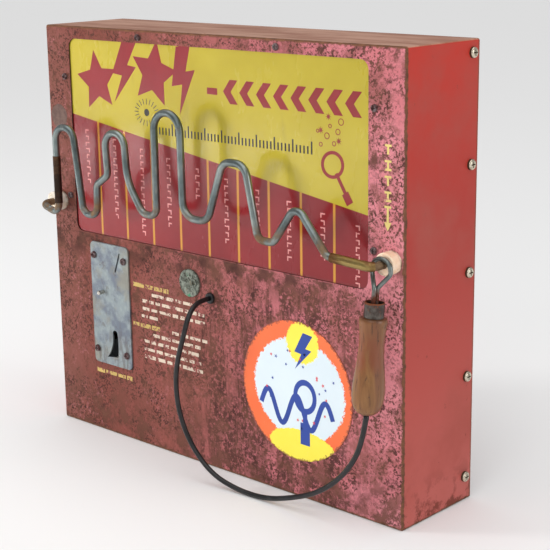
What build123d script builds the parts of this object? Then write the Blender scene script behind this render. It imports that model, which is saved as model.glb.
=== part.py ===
"""Coin-operated wire loop game.

A shallow sheet-steel cabinet carries a bent wire track on two insulators. A wooden handle with a
wire ring encloses the track and hangs from it on a cable. Inside are the lamp, the coin gear, the
lock and the game's electrical parts.

Millimetres. Origin: centre of the cabinet's base. X to the right, Y to the back, Z up.
"""

from build123d import *
from math import cos, radians, sin, tan
import os

os.makedirs("parts", exist_ok=True)

# ---------------------------------------------------------------- driving dimensions
WIDTH = 525.0
DEPTH = 117.0
HEIGHT = 480.0
SHEET = 1.5
GAP = 0.3

FRONT = -DEPTH / 2
BACK = DEPTH / 2
INSIDE_FRONT = FRONT + SHEET
INSIDE_X = WIDTH / 2 - SHEET
INSIDE_TOP = HEIGHT - SHEET

WINDOW = (-222.0, 218.0, 242.0, 466.0)
WINDOW_RADIUS = 10.0
WINDOW_SCREWS = [(-231, 422), (-231, 283), (225.5, 421), (225.5, 283), (-104, 472), (100, 472)]
PANEL_THICK = 3.0
PANEL_BACK = INSIDE_FRONT + PANEL_THICK

COVER_DEPTH = 25.5
SIDE_SCREW_Y = BACK - 11.5
SIDE_SCREW_Z = [27 + 110 * i for i in range(5)]
WALL_HOLE_X = 200.0
WALL_HOLE_Z = (60.0, 420.0)
WALL_HOLE_RADIUS = 3.5
MAINS_Y = 12.0
MAINS_Z = 105.0

TRACK_RADIUS = 4.0
TRACK_OFF = 30.0
TRACK_Y = FRONT - TRACK_OFF
TRACK_END_X = 248.0
TRACK_END_Z = 275.0
TRACK_TIP_Y = -36.0
INSULATOR_LONG = 13.5
INSULATOR_RADIUS = 11.5
SPIGOT_RADIUS = 8.0

RING_WIRE = 2.25
RING_INNER = 9.0
RING_Y = FRONT - 17.0
HANDLE_TOP = Vector(TRACK_END_X - 1.3, FRONT - 25.0, 240.7)
HANDLE_FOOT = Vector(TRACK_END_X - 4.6, FRONT - 33.0, 129.0)

COIN_PLATE = (-198.0, -132.5, 86.0, 233.0)
COIN_PLATE_THICK = 2.0
COIN_SCREWS = [(-191.4, 217), (-140, 216), (-191.4, 103), (-140, 103)]
SLOT_TOP = Vector(-147.0, 0, 224.0)
SLOT_FOOT = Vector(-155.5, 0, 200.8)
SLOT_WIDE = 2.2
BUTTON_X = -178.0
BUTTON_Z = 174.0

LOCK_X = -32.0
LOCK_Z = 208.5
KEY_X = LOCK_X + 8.5
KEY_Z = LOCK_Z + 2.0
BADGE = (123.0, 117.5, 76.0)

CABLE_RADIUS = 2.75
GROMMET_X = -1.0
GROMMET_Z = 196.5
GROMMET_OUT = 3.5

LAMP_Y = 8.0
LAMP_Z = 352.0
CHASSIS_X = (25.0, 245.0)
CHASSIS_TOP = 212.0
CHASSIS_Y = 22.0


# ---------------------------------------------------------------- helpers
def save(node, *pieces):
    """Write one node, as a single solid or as a group of separate ones."""
    solids = [solid for piece in pieces for solid in piece.solids()]
    shape = solids[0] if len(solids) == 1 else Compound(solids)
    export_step(shape, f"parts/{node}.step")


def block(x0, x1, y0, y1, z0, z1):
    """A box between two corners."""
    return Pos((x0 + x1) / 2, (y0 + y1) / 2, (z0 + z1) / 2) * Box(x1 - x0, y1 - y0, z1 - z0)


def rounded_block(x0, x1, y0, y1, z0, z1, radius, along=Axis.Y):
    """A box with the four edges along one axis rounded."""
    shape = block(x0, x1, y0, y1, z0, z1)
    return fillet(shape.edges().filter_by(along), radius)


def rod_x(y, z, radius, x0, x1):
    return Pos((x0 + x1) / 2, y, z) * Rot(0, 90, 0) * Cylinder(radius, x1 - x0)


def rod_y(x, z, radius, y0, y1):
    return Pos(x, (y0 + y1) / 2, z) * Rot(90, 0, 0) * Cylinder(radius, y1 - y0)


def rod_z(x, y, radius, z0, z1):
    return Pos(x, y, (z0 + z1) / 2) * Cylinder(radius, z1 - z0)


def tube_y(x, z, outer, inner, y0, y1):
    return rod_y(x, z, outer, y0, y1) - rod_y(x, z, inner, y0 - 1, y1 + 1)


def facing(point, direction):
    """A placement whose local +Z points along the direction."""
    return Plane(origin=point, z_dir=direction).location


def pan_screw(head_radius, head_height, shank_radius, shank_long):
    """A cross-recess pan head screw. The head's underside is at local Z = 0, the head towards +Z."""
    head = extrude(Circle(head_radius), head_height)
    head = fillet(head.faces().sort_by(Axis.Z)[-1].edges(), head_height * 0.55)
    arm = head_radius * 1.15
    slot = head_radius * 0.24
    floor = head_height * 0.45
    for long, wide in ((arm, slot), (slot, arm)):
        head -= Pos(0, 0, floor + head_height / 2) * Box(long, wide, head_height)
    return head + Pos(0, 0, -shank_long) * extrude(Circle(shank_radius), shank_long)


def hex_nut(flats, height, bore):
    """A hexagon nut standing on local Z = 0."""
    outline = RegularPolygon(radius=flats / 2, side_count=6, major_radius=False) - Circle(bore)
    return extrude(outline, height)


def bend_radii(points, share=0.45):
    """The largest even bends that the neighbouring runs leave room for."""
    radii = []
    for before, corner, after in zip(points, points[1:], points[2:]):
        come = corner - before
        leave = after - corner
        half_turn = radians(come.get_angle(leave)) / 2
        radii.append(share * min(come.length, leave.length) / tan(half_turn))
    return radii


def bent_rod(points, radii, radius):
    """A round bar along straight runs joined by tangent arcs."""
    path = FilletPolyline(*points, radius=radii)
    section = Plane(origin=path @ 0, z_dir=path % 0) * Circle(radius)
    return sweep(section, path=path), path


# ---------------------------------------------------------------- cabinet
def cabinet_shell():
    """One folded sheet: front, top, base and two sides, open at the back."""
    shell = block(-WIDTH / 2, WIDTH / 2, FRONT, BACK, 0, HEIGHT)
    outer_edges = shell.faces().sort_by(Axis.Y)[0].edges() + shell.edges().filter_by(Axis.Y)
    shell = fillet(outer_edges, 2.5)
    shell -= rounded_block(-INSIDE_X, INSIDE_X, INSIDE_FRONT, BACK + 1, SHEET, INSIDE_TOP, 1.0)
    through = (FRONT - 1, INSIDE_FRONT + 1)
    shell -= rounded_block(*WINDOW[:2], *through, *WINDOW[2:], WINDOW_RADIUS)
    shell -= rounded_block(-185.5, -144.3, *through, 92, 228, 3.0)
    for x, z in WINDOW_SCREWS + COIN_SCREWS:
        shell -= rod_y(x, z, 2.3, *through)
    for side in (-1, 1):
        shell -= rod_y(side * TRACK_END_X, TRACK_END_Z, SPIGOT_RADIUS + 0.2, *through)
        for z in SIDE_SCREW_Z:
            edge = sorted((side * (INSIDE_X - 1), side * (WIDTH / 2 + 1)))
            shell -= rod_x(SIDE_SCREW_Y, z, 3.3, *edge)
    shell -= rod_y(LOCK_X, LOCK_Z, 13.2, *through)
    shell -= rod_y(GROMMET_X, GROMMET_Z, 4.6, *through)
    return shell - rod_x(MAINS_Y, MAINS_Z, 8.1, -WIDTH / 2 - 1, -INSIDE_X + 1)


def rear_cover():
    """A shallow tray that closes the back, with its rim inside the shell."""
    x = INSIDE_X - GAP
    z0 = SHEET + GAP
    z1 = INSIDE_TOP - GAP
    front = BACK - COVER_DEPTH
    cover = rounded_block(-x, x, front, BACK, z0, z1, 2.0)
    inside = (-x + SHEET, x - SHEET, front - 1, BACK - SHEET, z0 + SHEET, z1 - SHEET)
    cover -= rounded_block(*inside, 0.8)
    for side in (-1, 1):
        for z in SIDE_SCREW_Z:
            cover -= rod_x(SIDE_SCREW_Y, z, 3.3, *sorted((side * (x - 3), side * (x + 1))))
        for z in WALL_HOLE_Z:
            cover -= rod_y(side * WALL_HOLE_X, z, WALL_HOLE_RADIUS, BACK - 3, BACK + 1)
    for i in range(9):
        middle = -160 + 40 * i
        cover -= rounded_block(middle - 15, middle + 15, BACK - 3, BACK + 1, 446, 451, 2.4)
    return cover


def side_screws(side):
    """Five M6 pan heads that go through the shell into the cover's rim."""
    return [
        facing((side * WIDTH / 2, SIDE_SCREW_Y, z), (side, 0, 0)) * pan_screw(5.5, 3.8, 3.0, 14)
        for z in SIDE_SCREW_Z
    ]


def cover_nuts():
    """Ten square weld nuts inside the cover's rim."""
    inner = INSIDE_X - GAP - SHEET
    nuts = []
    for side in (-1, 1):
        x0, x1 = sorted((side * inner, side * (inner - 5)))
        for z in SIDE_SCREW_Z:
            nut = block(x0, x1, SIDE_SCREW_Y - 5, SIDE_SCREW_Y + 5, z - 5, z + 5)
            nuts.append(nut - rod_x(SIDE_SCREW_Y, z, 3.05, x0 - 1, x1 + 1))
    return nuts


# ---------------------------------------------------------------- display window
def display_panel():
    panel = rounded_block(-236.5, 233, INSIDE_FRONT, PANEL_BACK, 234.5, 476.5, 3.0)
    for x, z in WINDOW_SCREWS:
        panel -= rod_y(x, z, 2.3, INSIDE_FRONT - 1, PANEL_BACK + 1)
    return panel


def panel_clamps():
    """Three strips that press the panel's edges against the front sheet."""
    y0 = PANEL_BACK
    y1 = PANEL_BACK + SHEET
    strips = [
        block(-236.4, -224, y0, y1, 250, 465),
        block(219, 232, y0, y1, 250, 465),
        block(-215, 211, y0, y1, 467, 476.4),
    ]
    for i, strip in enumerate(strips):
        for x, z in WINDOW_SCREWS[2 * i : 2 * i + 2]:
            strip -= rod_y(x, z, 2.3, y0 - 1, y1 + 1)
        strips[i] = strip
    return strips


def panel_ledge():
    """The angle under the panel's lower edge, welded to the front sheet."""
    foot = block(-230, 226, INSIDE_FRONT, PANEL_BACK + 3, 232.8, 234.3)
    lip = block(-230, 226, PANEL_BACK + 0.2, PANEL_BACK + 1.7, 234.3, 242)
    return foot + lip


def window_screws():
    return [
        facing((x, FRONT, z), (0, -1, 0)) * pan_screw(3.75, 2.4, 2.0, 12) for x, z in WINDOW_SCREWS
    ]


def window_nuts():
    y = PANEL_BACK + SHEET
    return [facing((x, y, z), (0, 1, 0)) * hex_nut(7, 3.2, 2.05) for x, z in WINDOW_SCREWS]


# ---------------------------------------------------------------- wire track
# Each bend of the track: x, z and the bend's radius. The humps and valleys run left to right.
TRACK_BENDS = [
    (-TRACK_END_X, TRACK_END_Z, 10.0),
    (-216.5, 266.0, 10.0),
    (-216.5, 368.5, 15.0),
    (-186.0, 368.5, 15.0),
    (-172.5, 273.0, 12.0),
    (-148.5, 273.0, 12.0),
    (-147.3, 309.0, 8.0),
    (-128.0, 322.0, 8.0),
    (-131.0, 370.0, 15.5),
    (-99.0, 370.0, 15.5),
    (-96.0, 320.0, 60.0),
    (-72.0, 285.5, 14.0),
    (-50.0, 285.5, 10.0),
    (-50.0, 399.0, 19.5),
    (-10.5, 399.0, 19.5),
    (-9.0, 290.0, 18.0),
    (28.0, 290.0, 16.0),
    (52.0, 356.0, 15.0),
    (83.0, 356.0, 15.0),
    (100.0, 281.0, 10.0),
    (121.0, 281.0, 10.0),
    (147.0, 317.0, 10.5),
    (158.0, 317.0, 10.5),
    (191.0, 277.5, 12.0),
    (TRACK_END_X, TRACK_END_Z, 10.0),
]


def wire_track():
    """One bent bar, from the left insulator's stud to the right one's."""
    points = [Vector(-TRACK_END_X, TRACK_TIP_Y, TRACK_END_Z)]
    points += [Vector(x, TRACK_Y, z) for x, z, bend in TRACK_BENDS]
    points += [Vector(TRACK_END_X, TRACK_TIP_Y, TRACK_END_Z)]
    bar, path = bent_rod(points, [bend for x, z, bend in TRACK_BENDS], TRACK_RADIUS)
    return bar


def start_sleeve():
    """Brass over the last run and into the last bend, where the ring is at rest."""
    corner = Vector(TRACK_END_X, TRACK_Y, TRACK_END_Z)
    before = Vector(TRACK_BENDS[-2][0], TRACK_Y, TRACK_BENDS[-2][1])
    along = (corner - before).normalized()
    bend = TRACK_BENDS[-1][2]
    centre = corner - along * bend + Vector(0, bend, 0)
    angle = radians(55)
    arc_end = centre + along * (bend * sin(angle)) - Vector(0, bend * cos(angle), 0)
    arc_middle = centre + along * (bend * sin(angle / 2)) - Vector(0, bend * cos(angle / 2), 0)
    arc_start = corner - along * bend
    start = before + along * 6.0
    path = Wire([Edge.make_line(start, arc_start), Edge.make_three_point_arc(arc_start, arc_middle, arc_end)])
    section = Plane(origin=start, z_dir=along) * (Circle(4.85) - Circle(TRACK_RADIUS + 0.05))
    return sweep(section, path=path)


def finish_sleeve():
    x = TRACK_BENDS[1][0]
    tube = rod_z(x, TRACK_Y, 4.5, 280, 334.6)
    return tube - rod_z(x, TRACK_Y, TRACK_RADIUS + 0.05, 270, 340)


def outer_insulator(side):
    """A bush on the front sheet, with a spigot through it."""
    x = side * TRACK_END_X
    bush = rod_y(x, TRACK_END_Z, INSULATOR_RADIUS, FRONT - INSULATOR_LONG, FRONT)
    bush = fillet(bush.faces().sort_by(Axis.Y)[0].edges(), 1.5)
    bush += rod_y(x, TRACK_END_Z, SPIGOT_RADIUS, FRONT, FRONT + 4.5)
    return bush - rod_y(x, TRACK_END_Z, TRACK_RADIUS + 0.05, FRONT - 20, FRONT + 20)


def inner_insulators():
    """Flanged bushes that close on the spigots from inside."""
    bushes = []
    for side in (-1, 1):
        x = side * TRACK_END_X
        bush = tube_y(x, TRACK_END_Z, 10.0, TRACK_RADIUS + 0.05, INSIDE_FRONT, -50)
        bushes.append(bush - rod_y(x, TRACK_END_Z, SPIGOT_RADIUS + 0.1, -60, FRONT + 4.8))
    return bushes


def track_washers():
    return [tube_y(side * TRACK_END_X, TRACK_END_Z, 8.0, 4.2, -50, -48.6) for side in (-1, 1)]


def track_terminals():
    """Ring terminals, with a crimp that points down."""
    tags = []
    for side in (-1, 1):
        x = side * TRACK_END_X
        tag = rod_y(x, TRACK_END_Z, 7.0, -48.6, -47.8)
        tag += block(x - 2.5, x + 2.5, -48.6, -47.8, TRACK_END_Z - 15, TRACK_END_Z - 5)
        tag += rod_z(x, -47.0, 2.2, TRACK_END_Z - 26, TRACK_END_Z - 14)
        tags.append(tag - rod_y(x, TRACK_END_Z, 4.2, -50, -46))
    return tags


def track_nuts():
    return [
        facing((side * TRACK_END_X, -47.8, TRACK_END_Z), (0, 1, 0)) * hex_nut(13, 6.5, 4.05)
        for side in (-1, 1)
    ]


# ---------------------------------------------------------------- handle
HANDLE_PLANE = Plane(origin=HANDLE_TOP, x_dir=(1, 0, 0), z_dir=HANDLE_TOP - HANDLE_FOOT)
HANDLE_LONG = (HANDLE_TOP - HANDLE_FOOT).length
FERRULE_LONG = 15.0


def on_handle(x, y, z):
    """A point in the handle's own frame: its top is Z = 0, its foot is below."""
    return HANDLE_PLANE.from_local_coords(Vector(x, y, z))


def handle_loop():
    """The ring and its two crossing shanks, from one wire."""
    wide = RING_INNER + RING_WIRE
    centre_z = TRACK_END_Z + TRACK_RADIUS + GAP - RING_INNER
    top = centre_z + wide
    waist = 267.5
    apart = RING_WIRE + 0.15
    points = [
        on_handle(0, -apart, -24),
        on_handle(0, -apart, 13),
        Vector(TRACK_END_X - wide, RING_Y, waist),
        Vector(TRACK_END_X - wide, RING_Y, top),
        Vector(TRACK_END_X + wide, RING_Y, top),
        Vector(TRACK_END_X + wide, RING_Y, waist),
        on_handle(0, apart, 13),
        on_handle(0, apart, -24),
    ]
    loop, path = bent_rod(points, [7.0, 6.0, wide - 0.1, wide - 0.1, 6.0, 7.0], RING_WIRE)
    return loop


def handle_ferrule():
    tube = extrude(Circle(9.8) - Circle(8.8), -FERRULE_LONG)
    rim = tube.faces().sort_by(Axis.Z)[-1].edges()
    return HANDLE_PLANE.location * fillet(rim, 0.4)


def handle_grip():
    """The turned grip: a collar under the ferrule, a waist, a belly and a rounded foot."""
    top = -FERRULE_LONG - 0.1
    foot = -HANDLE_LONG
    with BuildPart() as grip:
        with BuildSketch(Plane.XZ):
            with BuildLine():
                outline = Spline(
                    (12.9, top - 0.6),
                    (13.7, top - 3),
                    (13.5, top - 7),
                    (12.5, top - 17),
                    (12.6, -50),
                    (14.3, -68),
                    (16.0, -88),
                    (15.2, -99),
                    (11.8, -107.5),
                    (5.5, foot),
                )
                Line(outline @ 1, (0, foot))
                Line((0, foot), (0, top + 9))
                Line((0, top + 9), (8.7, top + 9))
                Line((8.7, top + 9), (8.7, top))
                Line((8.7, top), outline @ 0)
            make_face()
        revolve(axis=Axis.Z)
    body = grip.part
    body -= Pos(0, 0, top + 10) * extrude(Circle(5.0), -20)
    body -= Pos(0, 0, foot - 1) * extrude(Circle(CABLE_RADIUS + 0.1), HANDLE_LONG)
    return HANDLE_PLANE.location * body


# ---------------------------------------------------------------- cable
# The cable leaves the grommet, hangs until it just meets the table and climbs to the grip's foot.
CABLE_ROUTE = [
    Vector(GROMMET_X, FRONT - GROMMET_OUT, GROMMET_Z),
    Vector(GROMMET_X, -75, GROMMET_Z),
    Vector(0.5, -87.5, 192),
    Vector(2.5, -97, 182.5),
    Vector(2.5, -102.3, 169.5),
    Vector(-2.5, -103.5, 152.5),
    Vector(-10.5, -102.5, 132),
    Vector(-14, -102.5, 106),
    Vector(-10.5, -102, 75),
    Vector(4, -101, 43),
    Vector(33, -98, 13.5),
    Vector(71, -94, 2.95),
    Vector(109, -91.5, 3.4),
    Vector(143, -90, 13.5),
    Vector(174, -89.5, 26.5),
    Vector(203, -89.5, 47.5),
    Vector(225, -90, 73),
    Vector(238, -90.8, 101),
    HANDLE_FOOT - Vector(0, 0, 0.45),
]


def handle_cable():
    radii = bend_radii(CABLE_ROUTE)
    cable, path = bent_rod(CABLE_ROUTE, radii, CABLE_RADIUS)
    runs = [(b - a).length for a, b in zip(CABLE_ROUTE, CABLE_ROUTE[1:])]
    print("cable runs:", [round(run, 1) for run in runs])
    print("cable bend radii:", [round(radius, 1) for radius in radii])
    print(f"cable length {path.length:.1f}, volume {cable.volume:.0f}")
    return cable


def cable_grommet():
    """A rubber bush: a bead outside, a neck in the sheet and a bead inside."""
    bush = rod_y(GROMMET_X, GROMMET_Z, 6.2, FRONT - GROMMET_OUT, FRONT)
    bush = fillet(bush.faces().sort_by(Axis.Y)[0].edges(), 1.8)
    bush += rod_y(GROMMET_X, GROMMET_Z, 4.5, FRONT, INSIDE_FRONT)
    return bush + rod_y(GROMMET_X, GROMMET_Z, 6.2, INSIDE_FRONT, INSIDE_FRONT + 2.5)


# ---------------------------------------------------------------- coin gear
SLOT_MIDDLE = (SLOT_TOP + SLOT_FOOT) / 2
SLOT_UP = (SLOT_TOP - SLOT_FOOT).normalized()
SLOT_LONG = (SLOT_TOP - SLOT_FOOT).length
CHUTE_PLANE = Plane(origin=SLOT_MIDDLE, x_dir=(SLOT_UP.Z, 0, -SLOT_UP.X), z_dir=SLOT_UP)
CHUTE_HALF = 1.6
CHUTE_WALL = 1.2
CHUTE_FOOT = -98.0
CHUTE_BACK = -20.0
GATE_TOP = -56.0
GATE_PIN_X = -CHUTE_HALF - 0.8
GATE_PIN_Z = GATE_TOP - 1.9
SWITCH_PIN_X = CHUTE_HALF + CHUTE_WALL + 5.0
SWITCH_PIN_Z = -61.0
MECH_BACK = INSIDE_FRONT + 1.2


def in_chute(x0, x1, y0, y1, z0, z1):
    """A box in the chute's frame: X across the coin, Y back, Z up along the slot."""
    return CHUTE_PLANE.location * block(x0, x1, y0, y1, z0, z1)


def return_mouth(y0, y1):
    """The curved opening through which a returned coin is taken."""
    with BuildPart() as mouth:
        with BuildSketch(Plane.XZ.offset(-y0)):
            with BuildLine():
                outer = ThreePointArc((-155.8, 127), (-154.6, 113), (-156, 97.4))
                Line(outer @ 1, (-175, 95))
                inner = ThreePointArc((-175, 95), (-166.5, 108), (-164.4, 126))
                ThreePointArc(inner @ 1, (-160, 130), outer @ 0)
            make_face()
        extrude(amount=-(y1 - y0))
    return mouth.part


def coin_plate():
    y0 = FRONT - COIN_PLATE_THICK
    plate = rounded_block(*COIN_PLATE[:2], y0, FRONT, *COIN_PLATE[2:], 6.0)
    plate = fillet(plate.faces().sort_by(Axis.Y)[0].edges(), 0.6)
    for x, z in COIN_SCREWS:
        plate -= rod_y(x, z, 2.3, y0 - 1, FRONT + 1)
    slot = (-SLOT_WIDE / 2, SLOT_WIDE / 2, y0 - 1, FRONT + 1, -SLOT_LONG / 2, SLOT_LONG / 2)
    plate -= in_chute(*slot)
    plate -= rod_y(BUTTON_X, BUTTON_Z, 2.56, y0 - 1, FRONT + 1)
    return plate - return_mouth(y0 - 1, FRONT + 1)


def coin_plate_screws():
    y = FRONT - COIN_PLATE_THICK
    return [facing((x, y, z), (0, -1, 0)) * pan_screw(4.1, 2.6, 2.0, 12) for x, z in COIN_SCREWS]


def coin_plate_nuts():
    return [
        facing((x, MECH_BACK, z), (0, 1, 0)) * hex_nut(7, 3.2, 2.05) for x, z in COIN_SCREWS
    ]


def coin_chute():
    """The mounting plate inside the front, with the slanted channel that the coin drops through."""
    plate = block(-197, -134, INSIDE_FRONT, MECH_BACK, 94, 226)
    wide = CHUTE_HALF + CHUTE_WALL
    plate -= in_chute(-CHUTE_HALF, CHUTE_HALF, -60, -50, -SLOT_LONG / 2 - 2, SLOT_LONG / 2)
    plate -= rod_y(BUTTON_X, BUTTON_Z, 5.2, -60, -50)
    plate -= block(-181, -149, -60, -50, 80, 131)
    for x, z in COIN_SCREWS:
        plate -= rod_y(x, z, 2.3, -60, -50)
    walls = in_chute(CHUTE_HALF, wide, MECH_BACK, CHUTE_BACK, CHUTE_FOOT, 14)
    walls += in_chute(-wide, -CHUTE_HALF, MECH_BACK, CHUTE_BACK, GATE_TOP, 14)
    walls += in_chute(-wide - 3, wide, CHUTE_BACK, CHUTE_BACK + CHUTE_WALL, CHUTE_FOOT, 14)
    walls -= in_chute(0, wide + 1, -39.5, -32.5, -66, -58)
    walls += in_chute(-wide, wide, MECH_BACK, CHUTE_BACK + CHUTE_WALL, 14, 14 + CHUTE_WALL)
    guide = block(-186, -172, -44, -42.8, 166, 182) + block(-186, -184.8, MECH_BACK, -43, 166, 182)
    guide -= rod_y(BUTTON_X, BUTTON_Z, 1.6, -50, -40)
    gate_pin_hole = CHUTE_PLANE.location * rod_y(GATE_PIN_X, GATE_PIN_Z, 1.26, -60, 0)
    return plate + walls + guide - gate_pin_hole


def coin_return_cup():
    """The open-topped cup behind the return mouth."""
    cup = block(-180.5, -149.5, INSIDE_FRONT + 0.1, -34, 90, 112)
    return cup - block(-179.3, -150.7, INSIDE_FRONT - 1, -35.2, 91.2, 130)


def coin_release_button():
    """The pin that the player presses, its collar and the stem that opens the gate."""
    button = rod_y(BUTTON_X, BUTTON_Z, 2.5, -68.5, -57.2)
    button = fillet(button.faces().sort_by(Axis.Y)[0].edges(), 1.0)
    button += rod_y(BUTTON_X, BUTTON_Z, 4.5, -58.1, -56.9)
    return button + rod_y(BUTTON_X, BUTTON_Z, 1.5, -56.9, -35)


def button_spring():
    """A coil spring round the stem, from the collar to the guide."""
    wire = 0.35
    long = -44.1 + 56.6
    helix = Helix(pitch=2.2, height=long - 2 * wire, radius=3.0)
    section = Plane(origin=helix @ 0, z_dir=helix % 0) * Circle(wire)
    spring = sweep(section, path=helix, is_frenet=True)
    return facing((BUTTON_X, -56.6 + wire, BUTTON_Z), (0, 1, 0)) * spring


def reject_gate():
    """The lower part of the chute's left wall, hinged at its top on a pin."""
    wide = CHUTE_HALF + CHUTE_WALL
    gate = in_chute(-wide, -CHUTE_HALF, -55, -21, CHUTE_FOOT + 2, GATE_TOP - 1.5)
    return gate + CHUTE_PLANE.location * rod_y(GATE_PIN_X, GATE_PIN_Z, 1.2, -56.8, -18)


def coin_switch():
    """The microswitch on the chute's right wall, with its tags and two ears for the feeler's pin."""
    wall = CHUTE_HALF + CHUTE_WALL + 0.05
    body = in_chute(wall, wall + 10, -46, -26, -92, -64)
    for y in (-43, -36, -29):
        body += in_chute(wall + 3, wall + 7, y - 0.4, y + 0.4, -99, -92)
    for y in (-43, -31):
        body += in_chute(SWITCH_PIN_X - 2.5, SWITCH_PIN_X + 2.5, y, y + 2, -64.5, -58)
    return body - CHUTE_PLANE.location * rod_y(SWITCH_PIN_X, SWITCH_PIN_Z, 1.56, -50, -20)


def coin_switch_lever():
    """The feeler that reaches into the chute, on its pin above the switch."""
    lever = CHUTE_PLANE.location * rod_y(SWITCH_PIN_X, SWITCH_PIN_Z, 1.5, -42.8, -29.2)
    return lever + in_chute(-1.0, SWITCH_PIN_X, -38, -34, SWITCH_PIN_Z - 0.4, SWITCH_PIN_Z + 0.4)


def cash_box():
    """The open-topped steel drawer on the cabinet's floor, under the chute."""
    box = block(-245, -110, -52, 28, SHEET + 0.1, 72)
    return box - block(-243.8, -111.2, -50.8, 26.8, SHEET + 1.3, 80)


# ---------------------------------------------------------------- lock
def lock_body():
    """The barrel, with its wide face outside and the bore for the off-centre plug."""
    face = rod_y(LOCK_X, LOCK_Z, 15.75, FRONT - 2.4, FRONT)
    face = fillet(face.faces().sort_by(Axis.Y)[0].edges(), 1.0)
    barrel = face + rod_y(LOCK_X, LOCK_Z, 13.0, FRONT, -38)
    return barrel - rod_y(KEY_X, KEY_Z, 3.46, FRONT - 5, -30)


def lock_nut():
    return facing((LOCK_X, INSIDE_FRONT, LOCK_Z), (0, 1, 0)) * hex_nut(31, 5, 13.05)


def lock_plug():
    """The keyed plug, with a raised rim in front and a square for the cam behind."""
    plug = rod_y(KEY_X, KEY_Z, 3.4, FRONT - 2.8, -37.6)
    plug += tube_y(KEY_X, KEY_Z, 3.9, 2.6, FRONT - 3.6, FRONT - 2.7)
    plug += block(KEY_X - 2, KEY_X + 2, -37.6, -33.5, KEY_Z - 2, KEY_Z + 2)
    return plug - block(KEY_X - 0.5, KEY_X + 0.5, FRONT - 5, -45, KEY_Z - 1.9, KEY_Z + 1.9)


def lock_cam():
    """The flat arm that points up behind the strap's lip when the lock is shut."""
    cam = rod_y(KEY_X, KEY_Z, 6.0, -37.4, -35.4)
    cam += block(KEY_X - 5, KEY_X + 5, -37.4, -35.4, KEY_Z, KEY_Z + 28)
    return cam - block(KEY_X - 2.02, KEY_X + 2.02, -40, -30, KEY_Z - 2.02, KEY_Z + 2.02)


def cam_nut():
    return facing((KEY_X, -35.3, KEY_Z), (0, 1, 0)) * extrude(
        Rectangle(8, 8) - Rectangle(4.04, 4.04), 1.6
    )


def lock_strap():
    """The strap on the rear cover, whose lip the cam holds."""
    x0 = KEY_X - 9
    x1 = KEY_X + 9
    strap = block(x0, x1, -40.8, BACK - SHEET, 243, 244.5)
    strap += block(x0, x1, -40.8, -39.3, 231, 243)
    return strap + block(x0, x1, BACK - 2 * SHEET, BACK - SHEET, 225, 243)


# ---------------------------------------------------------------- badge
def badge():
    x, z, radius = BADGE
    return rod_y(x, z, radius, FRONT - 0.5, FRONT)


# ---------------------------------------------------------------- lamp
TUBE_HALF = 219.0


def lamp_tube():
    return rod_x(LAMP_Y, LAMP_Z, 13.0, -TUBE_HALF + 7, TUBE_HALF - 7)


def lamp_caps():
    caps = []
    for side in (-1, 1):
        x0, x1 = sorted((side * (TUBE_HALF - 7), side * TUBE_HALF))
        cap = rod_x(LAMP_Y, LAMP_Z, 13.0, x0, x1)
        for dz in (-6.35, 6.35):
            pin = sorted((side * TUBE_HALF, side * (TUBE_HALF + 6.5)))
            cap += rod_x(LAMP_Y, LAMP_Z + dz, 1.2, *pin)
        caps.append(cap)
    return caps


def lamp_holders():
    holders = []
    for side in (-1, 1):
        x0, x1 = sorted((side * (TUBE_HALF + 0.2), side * (TUBE_HALF + 12)))
        holder = block(x0, x1, LAMP_Y - 10, 27, LAMP_Z - 12, LAMP_Z + 12)
        for dz in (-6.35, 6.35):
            hole = sorted((side * TUBE_HALF, side * (TUBE_HALF + 7)))
            holder -= rod_x(LAMP_Y, LAMP_Z + dz, 1.25, *hole)
        holders.append(holder)
    return holders


def lamp_batten():
    """The channel between the cabinet's sides that carries the lamp's parts."""
    batten = block(-INSIDE_X, INSIDE_X, 27, 32, LAMP_Z - 20, LAMP_Z + 20)
    return batten - block(-INSIDE_X - 1, INSIDE_X + 1, 28.2, 33, LAMP_Z - 18.8, LAMP_Z + 18.8)


def lamp_ballast():
    ballast = block(-90, 20, 28.3, 50, LAMP_Z - 17, LAMP_Z + 17)
    return fillet(ballast.edges().filter_by(Axis.X), 3.0)


def lamp_starter():
    return rod_z(120, 15.4, 10.8, LAMP_Z + 21, LAMP_Z + 57) + block(105, 135, 27, 30, 372, 392)


# ---------------------------------------------------------------- electrical parts
def chassis_plate():
    """The upright plate that the electrical parts are screwed to."""
    plate = block(*CHASSIS_X, CHASSIS_Y, CHASSIS_Y + SHEET, SHEET, CHASSIS_TOP)
    return plate + block(*CHASSIS_X, CHASSIS_Y - 20, CHASSIS_Y, SHEET, 2 * SHEET)


def transformer_core():
    """The laminated core: an outer frame and a middle limb."""
    core = block(45, 111, CHASSIS_Y - 34, CHASSIS_Y - 6, 30, 85)
    for z0, z1 in ((41, 52), (63, 74)):
        core -= block(56, 100, -30, CHASSIS_Y, z0, z1)
    return core + block(50, 106, CHASSIS_Y - 6, CHASSIS_Y, 33, 39)


def transformer_coil():
    coil = block(57, 99, CHASSIS_Y - 43, CHASSIS_Y - 1, 41.5, 73.5)
    coil = fillet(coil.edges().filter_by(Axis.X), 4.0)
    return coil - block(50, 105, CHASSIS_Y - 34.2, CHASSIS_Y - 5.8, 51.9, 63.1)


def control_board():
    board = block(130, 235, CHASSIS_Y - 9.6, CHASSIS_Y - 8, 110, 200)
    for x in (136, 229):
        for z in (116, 194):
            board += rod_y(x, z, 3.0, CHASSIS_Y - 8, CHASSIS_Y)
    for i in range(3):
        x = 150 + 26 * i
        board += rod_y(x, 178, 6.0, CHASSIS_Y - 28, CHASSIS_Y - 9)
    for i in range(4):
        x = 148 + 20 * i
        board += block(x - 4, x + 4, CHASSIS_Y - 14, CHASSIS_Y - 9, 150, 165)
    return board


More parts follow.
